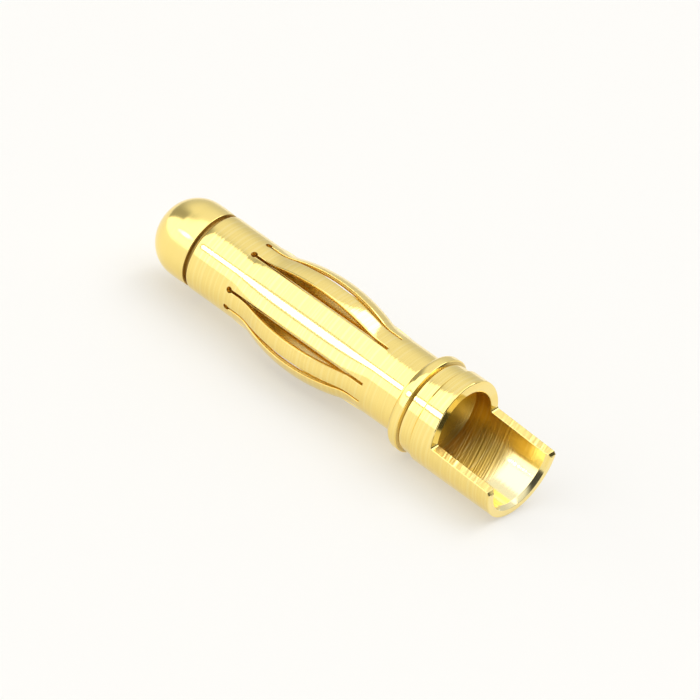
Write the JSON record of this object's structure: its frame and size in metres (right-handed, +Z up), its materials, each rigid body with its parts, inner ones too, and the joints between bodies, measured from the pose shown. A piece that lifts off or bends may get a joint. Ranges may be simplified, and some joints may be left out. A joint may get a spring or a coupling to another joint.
{
  "type": "banana plug",
  "caption": "Gold-plated banana plug with a domed nose, a slotted sleeve of bulged spring ribs that grip the socket, and a half-open solder cup for the wire.",
  "frame": {"origin": "centre of the bounding box's bottom face, on the surface that the plug lies on", "axes": "+X along the plug's axis towards the solder cup's mouth, +Z up out of the surface, the cup open upwards and rolled slightly towards -Y"},
  "size_m": [0.0192, 0.0044, 0.0044],
  "materials": {
    "body_plating": "gold-plated, bright turned",
    "sleeve_plating": "gold-plated, bright with fine turning marks",
    "nose_plating": "gold-plated, polished"
  },
  "bodies": {
    "root": {"solder_cup_body": "body_plating", "contact_sleeve": "sleeve_plating", "nose_cap": "nose_plating"}
  },
  "joints": []
}
